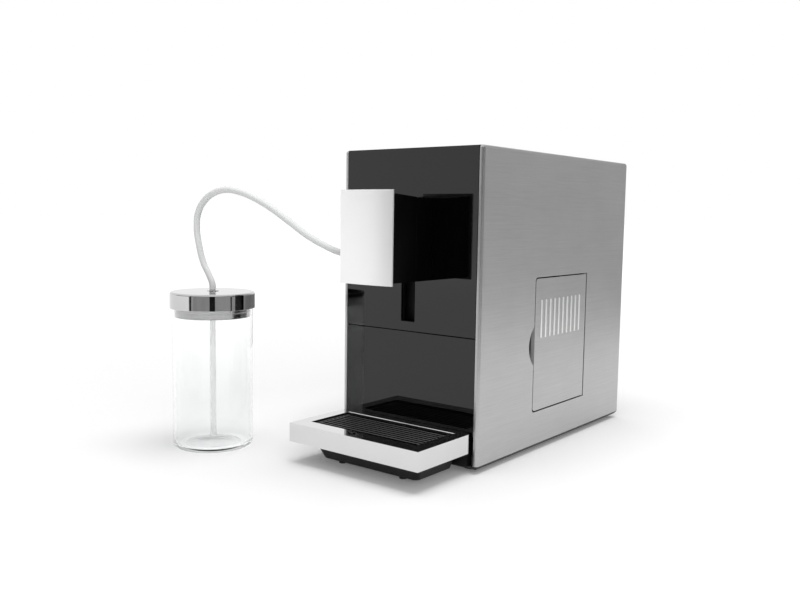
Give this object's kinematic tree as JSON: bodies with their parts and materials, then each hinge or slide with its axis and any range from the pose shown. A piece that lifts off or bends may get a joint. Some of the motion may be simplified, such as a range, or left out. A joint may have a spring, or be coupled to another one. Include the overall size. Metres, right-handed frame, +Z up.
{
  "type": "bean to cup coffee machine",
  "caption": "Slim countertop bean to cup coffee machine with a sliding spout, drip tray drawer, side service door and a glass milk jar fed by a hose.",
  "frame": {"origin": "middle of the bottom of the outer box of all pieces but the hose, on the surface that the machine and the jar stand on", "axes": "+Z up, +Y from the front to the back, +X to the right seen from the front; the jar stands on the -X side"},
  "size_m": [0.336, 0.4748, 0.327],
  "materials": {
    "side_steel": "brushed along its length",
    "gloss_panel": "high gloss black",
    "spout_black": "gloss black",
    "cover_silver": "satin silver",
    "rim_chrome": "mirror polished",
    "lid_chrome": "mirror polished",
    "plug_metal": "satin metal",
    "jar_glass": "clear",
    "hose_silicone": "translucent silicone",
    "pipe_clear": "translucent",
    "tray_black": "satin black moulding",
    "grille_black": "satin black",
    "base_black": "fine textured black",
    "foot_rubber": "matt rubber",
    "inner_black": "satin black",
    "inner_grey": "dark grey moulding",
    "rear_black": "fine textured black",
    "top_black": "satin black",
    "smoked_plastic": "smoked transparent",
    "white_moulding": "white moulding",
    "cast_metal": "die cast",
    "turned_steel": "turned steel",
    "motor_steel": "plated steel can",
    "board_green": "green laminate with black parts"
  },
  "bodies": {
    "machine": {"side_panel_left": "side_steel", "side_panel_right": "side_steel", "base_pan": "base_black", "foot_front_left": "foot_rubber", "foot_front_right": "foot_rubber", "foot_rear_left": "foot_rubber", "foot_rear_right": "foot_rubber", "upper_front_panel": "gloss_panel", "front_carrier": "inner_black", "slide_channel": "inner_black", "guide_rod_left": "turned_steel", "guide_rod_right": "turned_steel", "milk_tube": "hose_silicone", "milk_jar": "jar_glass", "door_frame": "inner_grey", "mid_wall": "inner_grey", "mechanism_deck": "inner_grey", "bay_divider": "inner_grey", "tank_shelf": "inner_grey", "rear_panel": "rear_black", "top_cover": "top_black", "bean_hopper": "smoked_plastic", "grinder_housing": "cast_metal", "grinder_gearcase": "inner_grey", "grinder_motor": "motor_steel", "brew_frame": "inner_grey", "brew_chamber": "white_moulding", "brew_motor": "motor_steel", "heater_block": "cast_metal", "water_pump": "motor_steel", "power_board": "board_green", "control_board": "board_green", "power_inlet": "rear_black"},
    "spout": {"spout_slide": "inner_black", "spout_body": "spout_black", "coffee_nozzle_left": "spout_black", "coffee_nozzle_right": "spout_black", "spout_cover": "cover_silver", "milk_fitting": "spout_black"},
    "jar_lid": {"milk_lid": "lid_chrome", "lid_plug": "plug_metal", "suction_pipe": "pipe_clear"},
    "drawer": {"drip_tray": "tray_black", "tray_rim": "rim_chrome", "grounds_container": "inner_black", "lower_front_panel": "gloss_panel"},
    "grille": {"drip_grille": "grille_black"},
    "door": {"service_door": "side_steel", "door_liner": "inner_grey"},
    "bean_lid": {"hopper_lid": "top_black"},
    "knob": {"grind_knob": "top_black"},
    "burr": {"burr_cone": "turned_steel", "grinder_gear": "white_moulding"},
    "pinion": {"motor_pinion": "turned_steel"},
    "screw": {"brew_screw": "turned_steel"},
    "piston": {"brew_piston": "white_moulding"},
    "tank": {"water_tank": "smoked_plastic"},
    "water_lid": {"tank_lid": "top_black"},
    "rocker": {"power_switch": "rear_black"}
  },
  "joints": [
    {"name": "spout_slide_down", "type": "slide", "parent": "machine", "child": "spout", "axis": [0, 0, -1], "range_m": [0, 0.05], "deforming": ["milk_tube"]},
    {"name": "jar_lid_lift", "type": "slide", "parent": "machine", "child": "jar_lid", "axis": [0, 0, 1], "range_m": [0, 0.155], "deforming": ["milk_tube"]},
    {"name": "drawer_slide", "type": "slide", "parent": "machine", "child": "drawer", "axis": [0, -1, 0], "range_m": [0, 0.16]},
    {"name": "grille_lift", "type": "slide", "parent": "drawer", "child": "grille", "axis": [0, 0, 1], "range_m": [0, 0.04]},
    {"name": "door_hinge", "type": "hinge", "parent": "machine", "child": "door", "pos_m": [0.16445, 0.13185, 0.11865], "axis": [0, 0, 1], "range_deg": [0, 90]},
    {"name": "bean_lid_lift", "type": "slide", "parent": "machine", "child": "bean_lid", "axis": [0, 0, 1], "range_m": [0, 0.03]},
    {"name": "knob_turn", "type": "hinge", "parent": "machine", "child": "knob", "pos_m": [0.13505, -0.06635, 0.32], "axis": [0, 0, 1], "range_deg": [0, 270]},
    {"name": "burr_spin", "type": "hinge", "parent": "machine", "child": "burr", "pos_m": [0.06305, 0.00165, 0.205], "axis": [0, 0, 1], "continuous": true},
    {"name": "pinion_spin", "type": "hinge", "parent": "machine", "child": "pinion", "pos_m": [0.06305, 0.0579, 0.205], "axis": [0, 0, 1], "continuous": true},
    {"name": "screw_turn", "type": "hinge", "parent": "machine", "child": "screw", "pos_m": [0.10705, 0.10965, 0.12], "axis": [0, 0, 1], "range_deg": [0, 2700]},
    {"name": "piston_slide", "type": "slide", "parent": "machine", "child": "piston", "axis": [0, 0, -1], "range_m": [0, 0.045]},
    {"name": "tank_lift", "type": "slide", "parent": "machine", "child": "tank", "axis": [0, 0, 1], "range_m": [0, 0.195]},
    {"name": "water_lid_hinge", "type": "hinge", "parent": "tank", "child": "water_lid", "pos_m": [0.07705, 0.22945, 0.3255], "axis": [-1, 0, 0], "range_deg": [0, 90]},
    {"name": "rocker_tip", "type": "hinge", "parent": "machine", "child": "rocker", "pos_m": [0.09505, 0.22945, 0.038], "axis": [-1, 0, 0], "range_deg": [0, 16.5]}
  ],
  "couplings": [
    {"joint": "burr_spin", "follows": "pinion_spin", "ratio": -0.25},
    {"joint": "screw_turn", "follows": "piston_slide", "rad_per_m": 1047.2}
  ]
}
